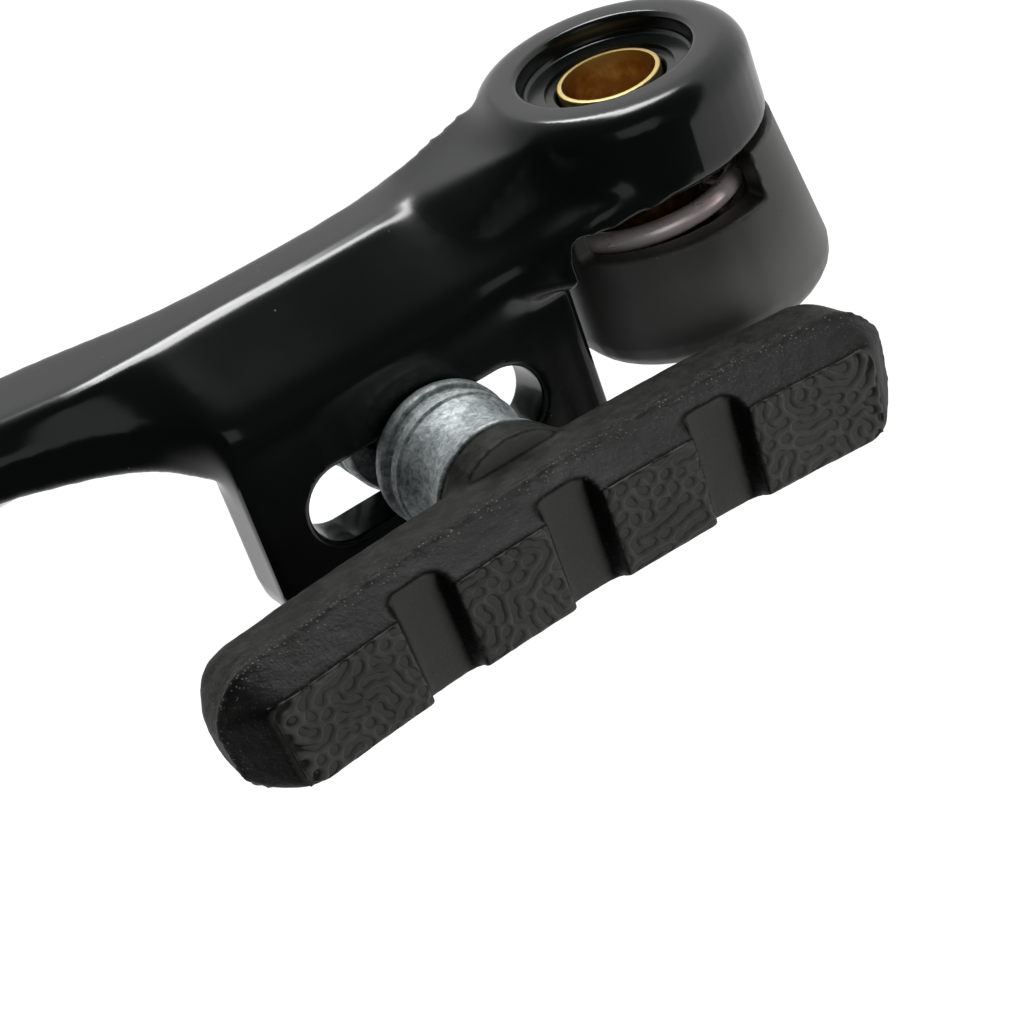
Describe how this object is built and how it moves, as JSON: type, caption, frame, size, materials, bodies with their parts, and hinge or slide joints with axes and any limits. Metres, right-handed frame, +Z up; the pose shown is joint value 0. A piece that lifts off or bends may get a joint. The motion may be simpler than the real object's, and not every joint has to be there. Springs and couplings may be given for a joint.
{
  "type": "v-brake arm with pad and spring housing",
  "caption": "Linear-pull bicycle brake arm with a slotted pad flange, threaded brake pad on ball washers, return spring in a plastic housing and a cable anchor.",
  "frame": {"origin": "on the pivot axis, at the rear face that seats on the bicycle's frame", "axes": "+Y along the pivot axis towards the frame, +Z up the arm to the cable anchor, -X towards the wheel's rim"},
  "size_m": [0.0459, 0.0359, 0.1255],
  "materials": {
    "black_paint": "gloss",
    "brass": "satin",
    "black_plastic": "satin",
    "spring_steel": "polished",
    "zinc_steel": "zinc plated",
    "pad_rubber": "matt"
  },
  "bodies": {
    "housing": {"spring_housing": "black_plastic", "stop_pin": "spring_steel", "tension_screw": "zinc_steel", "pivot_bush": "brass"},
    "arm": {"arm": "black_paint", "spring_pin": "zinc_steel", "return_spring": "spring_steel", "spring_sleeve": "black_plastic", "cable_anchor_bolt": "zinc_steel", "cable_anchor_washer": "zinc_steel"},
    "pad_carrier": {"convex_washer_pad_side": "zinc_steel", "convex_washer_far_side": "zinc_steel"},
    "pad_cups": {"cup_washer_pad_side": "zinc_steel", "cup_washer_far_side": "zinc_steel"},
    "pad": {"pad_block": "pad_rubber", "pad_stud": "zinc_steel", "flat_washer": "zinc_steel", "pad_nut": "zinc_steel"}
  },
  "joints": [
    {"name": "arm_swing", "type": "hinge", "parent": "housing", "child": "arm", "pos_m": [0, 0, 0], "axis": [0, 1, 0], "range_deg": [-20, 30], "stiffness_Nm_per_rad": 0.7, "deforming": ["return_spring"]},
    {"name": "pad_height", "type": "slide", "parent": "arm", "child": "pad_carrier", "axis": [0, 0, 1], "range_m": [-0.0072, 0.0088]},
    {"name": "pad_toe", "type": "hinge", "parent": "pad_carrier", "child": "pad_cups", "pos_m": [-0.0033, -0.003, 0.0284], "axis": [0, 0, 1], "range_deg": [-4, 4]},
    {"name": "pad_turn", "type": "hinge", "parent": "pad_cups", "child": "pad", "pos_m": [-0.0033, -0.003, 0.0284], "axis": [1, 0, 0], "continuous": true}
  ]
}
